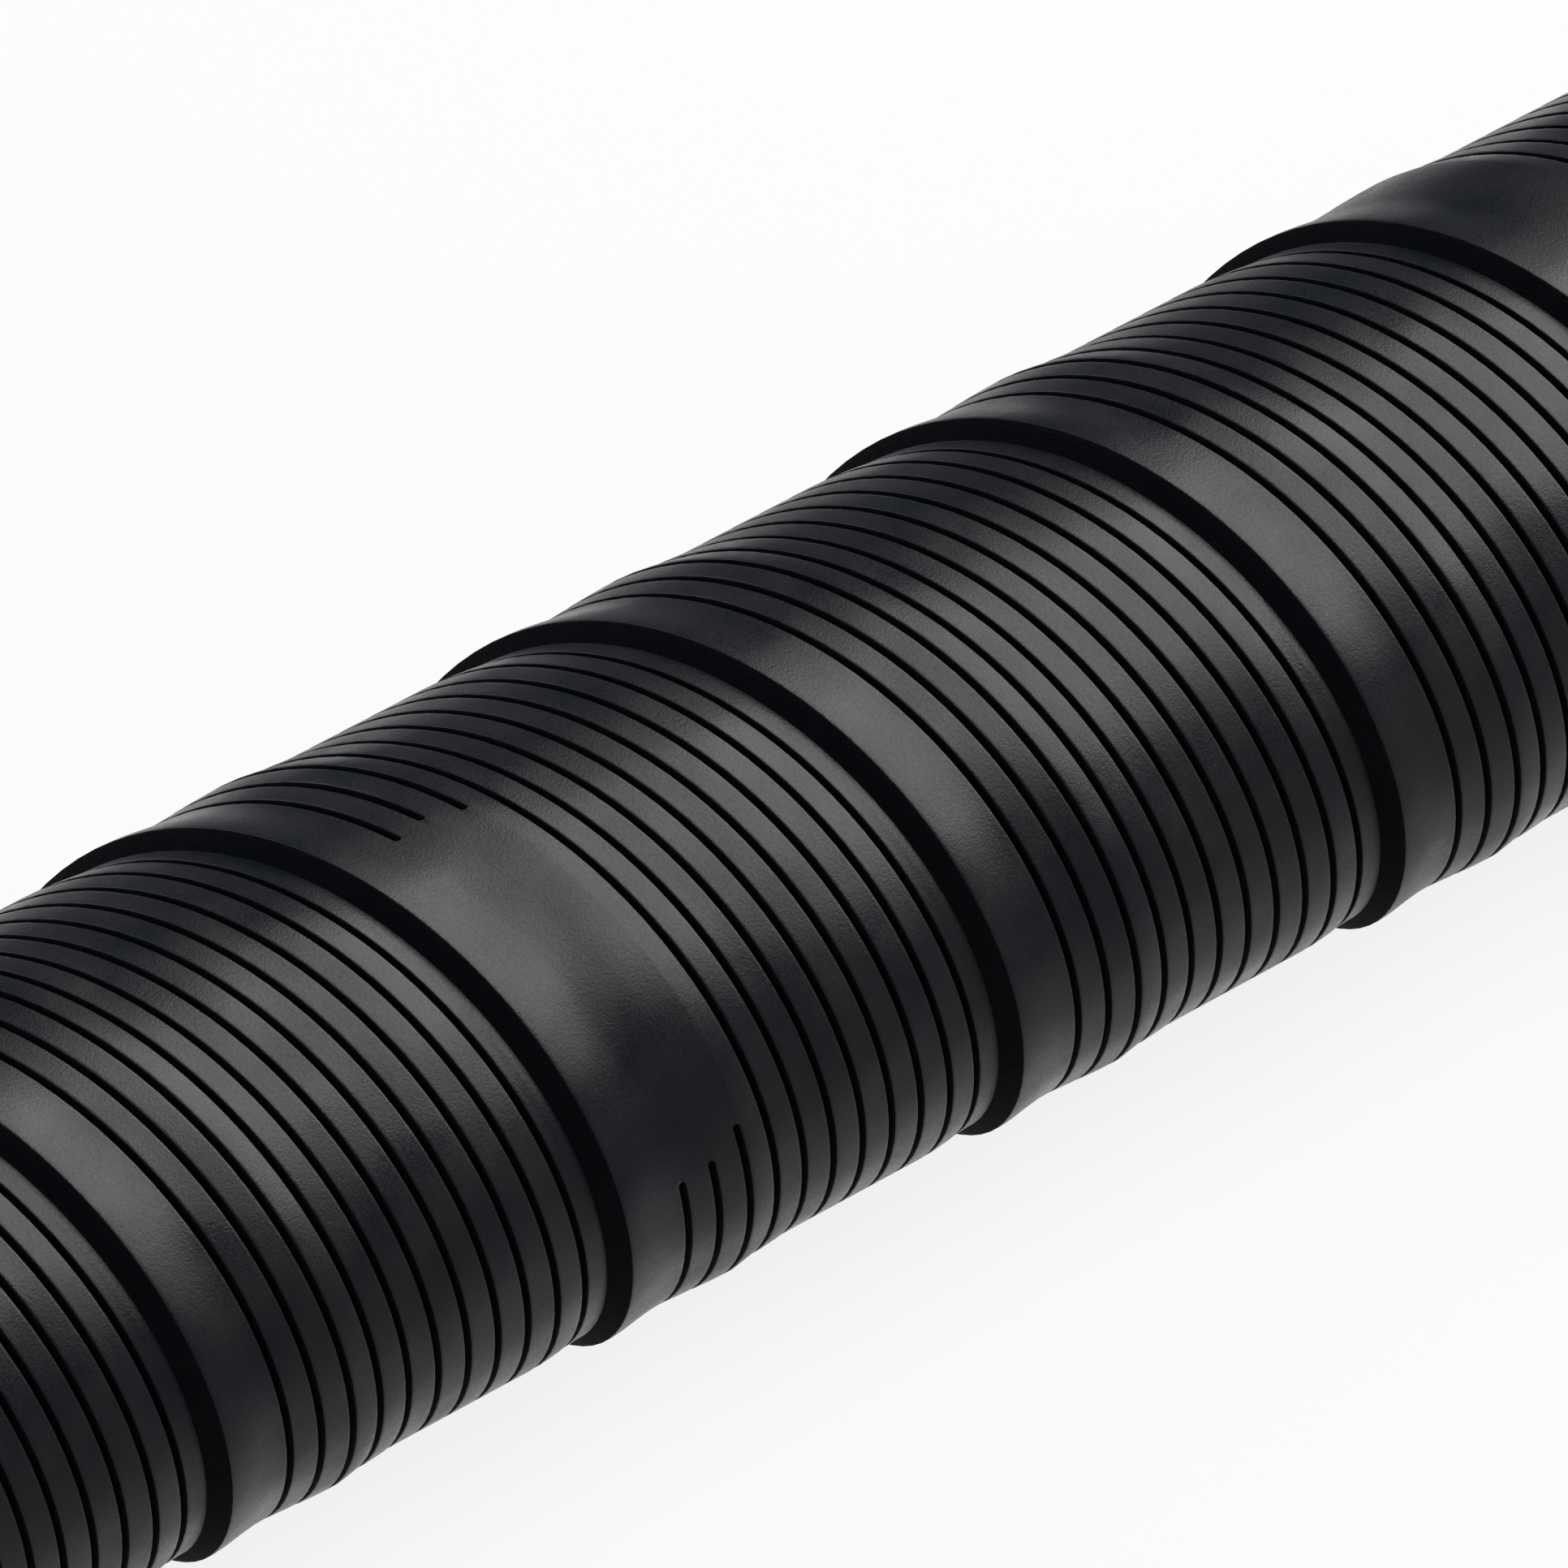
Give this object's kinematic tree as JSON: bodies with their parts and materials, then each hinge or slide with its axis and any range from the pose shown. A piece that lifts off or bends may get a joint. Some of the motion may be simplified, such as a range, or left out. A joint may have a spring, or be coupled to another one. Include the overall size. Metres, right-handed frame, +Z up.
{
  "type": "handlebar tape roll",
  "caption": "Black ribbed handlebar tape wound in overlapping turns into a straight tube, open down the middle for the bar, with bare patches where the ribs stop.",
  "frame": {"origin": "on the surface that the roll lies on, under the middle of the roll", "axes": "+X along the bar, in the direction in which the turns were laid on; +Z up, away from the flat spot"},
  "size_m": [0.16, 0.0288, 0.0281],
  "materials": {
    "tape": "satin black polyurethane with a fine dry grain"
  },
  "bodies": {
    "root": {"tape_wrap": "tape"}
  },
  "joints": []
}
